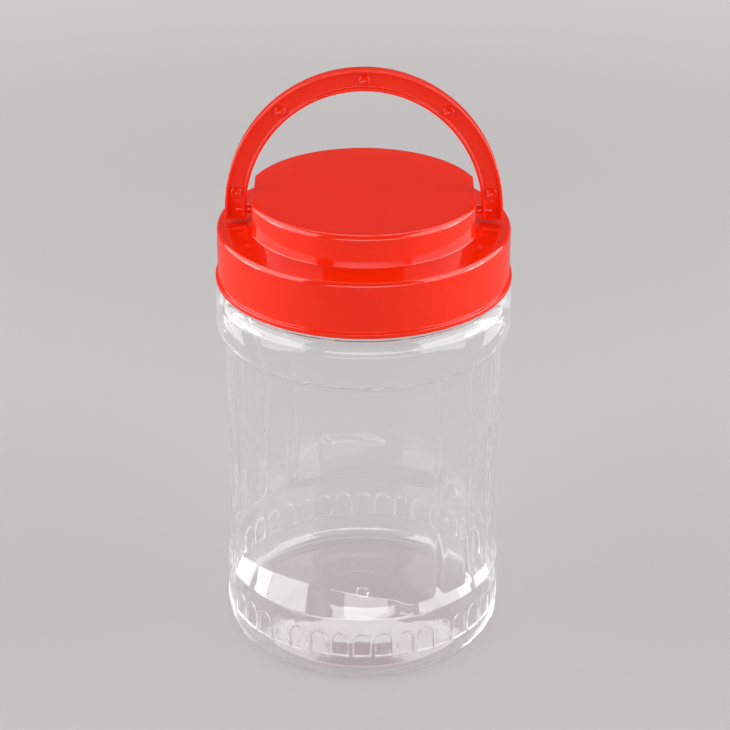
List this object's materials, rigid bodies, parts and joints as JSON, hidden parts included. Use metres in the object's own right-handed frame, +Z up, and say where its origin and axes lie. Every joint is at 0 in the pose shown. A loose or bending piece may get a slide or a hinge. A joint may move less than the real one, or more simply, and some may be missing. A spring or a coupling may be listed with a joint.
{
  "type": "storage jar",
  "caption": "Clear round wide-mouth storage jar with a red screw lid and a folding carry handle.",
  "frame": {"origin": "centre of the flat ring that the jar stands on", "axes": "+Z up along the jar's axis, X along the handle's pivot, the front in the picture faces -Y"},
  "size_m": [0.12, 0.12, 0.2468],
  "materials": {
    "clear_plastic": "clear glossy blown plastic",
    "red_plastic": "glossy moulded red-orange plastic",
    "liner_foam": "matt white foam sheet"
  },
  "bodies": {
    "jar": {"jar": "clear_plastic"},
    "liner": {"lid_liner": "liner_foam"},
    "lid": {"screw_lid": "red_plastic"},
    "handle": {"carry_handle": "red_plastic"}
  },
  "joints": [
    {"name": "lid_rise", "type": "slide", "parent": "jar", "child": "liner", "axis": [0, 0, 1], "range_m": [0, 0.0211]},
    {"name": "lid_turn", "type": "hinge", "parent": "liner", "child": "lid", "pos_m": [0, 0, 0.159], "axis": [0, 0, 1], "range_deg": [0, 1260]},
    {"name": "handle_swing", "type": "hinge", "parent": "lid", "child": "handle", "pos_m": [0, 0, 0.1878], "axis": [1, 0, 0], "range_deg": [-92.5, 92.5]}
  ],
  "couplings": [
    {"joint": "lid_rise", "follows": "lid_turn", "m_per_rad": 0.00095493}
  ]
}
